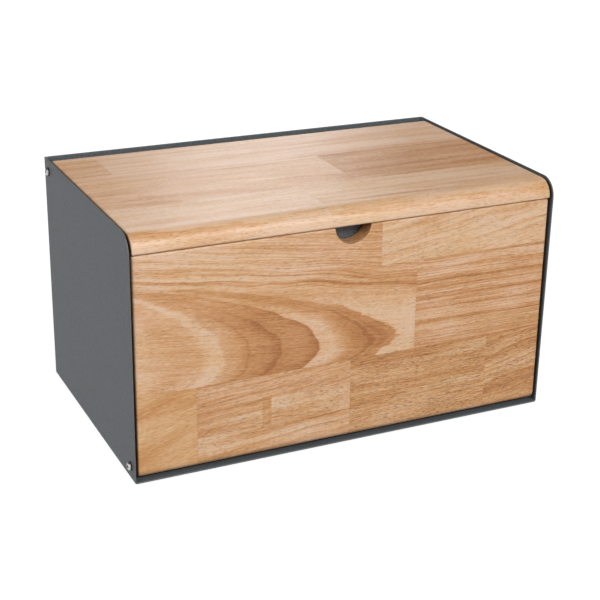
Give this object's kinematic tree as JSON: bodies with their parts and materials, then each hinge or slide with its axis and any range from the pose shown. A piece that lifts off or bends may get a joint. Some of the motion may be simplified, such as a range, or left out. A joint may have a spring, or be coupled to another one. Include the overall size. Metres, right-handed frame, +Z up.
{
  "type": "bread bin",
  "caption": "Bread bin: folded grey sheet-steel case with a hardwood lid hinged at the top rear and a hardwood flap hinged at the bottom front, with a finger notch.",
  "frame": {"origin": "on the worktop, under the centre of the case", "axes": "+X to the right along the case, +Y to the rear, +Z up; the flap faces -Y"},
  "size_m": [0.4052, 0.24, 0.222],
  "materials": {
    "powder_coated_steel": "fine matt powder coat, mid grey",
    "rubberwood": "edge-glued staves, sanded, thin satin lacquer",
    "screw_steel": "bright zinc-plated button heads",
    "nylon": "moulded black nylon",
    "brass": "turned brass",
    "magnet": "nickel-plated disc",
    "bumper_rubber": "soft translucent grey bumper",
    "foot_rubber": "black rubber"
  },
  "bodies": {
    "housing": {"housing_wrap": "powder_coated_steel", "back_panel": "powder_coated_steel", "front_rail": "powder_coated_steel", "lid_pivot_bush_left": "nylon", "lid_pivot_bush_right": "nylon", "flap_pivot_bush_left": "nylon", "flap_pivot_bush_right": "nylon", "lid_bumper_left": "bumper_rubber", "lid_bumper_right": "bumper_rubber", "flap_bumper_left": "bumper_rubber", "flap_bumper_right": "bumper_rubber", "foot_front_left": "foot_rubber", "foot_front_right": "foot_rubber", "foot_rear_left": "foot_rubber", "foot_rear_right": "foot_rubber"},
    "lid": {"lid_board": "rubberwood", "lid_pivot_screw_left": "screw_steel", "lid_pivot_screw_right": "screw_steel", "lid_pivot_washer_left": "nylon", "lid_pivot_washer_right": "nylon", "lid_threaded_insert_left": "brass", "lid_threaded_insert_right": "brass"},
    "flap": {"flap_board": "rubberwood", "flap_pivot_screw_left": "screw_steel", "flap_pivot_screw_right": "screw_steel", "flap_pivot_washer_left": "nylon", "flap_pivot_washer_right": "nylon", "flap_threaded_insert_left": "brass", "flap_threaded_insert_right": "brass", "flap_magnet_left": "magnet", "flap_magnet_right": "magnet"}
  },
  "joints": [
    {"name": "lid_hinge", "type": "hinge", "parent": "housing", "child": "lid", "pos_m": [0, 0.1082, 0.2109], "axis": [-1, 0, 0], "range_deg": [0, 90]},
    {"name": "flap_hinge", "type": "hinge", "parent": "housing", "child": "flap", "pos_m": [0, -0.109, 0.0144], "axis": [1, 0, 0], "range_deg": [0, 90.6]}
  ]
}
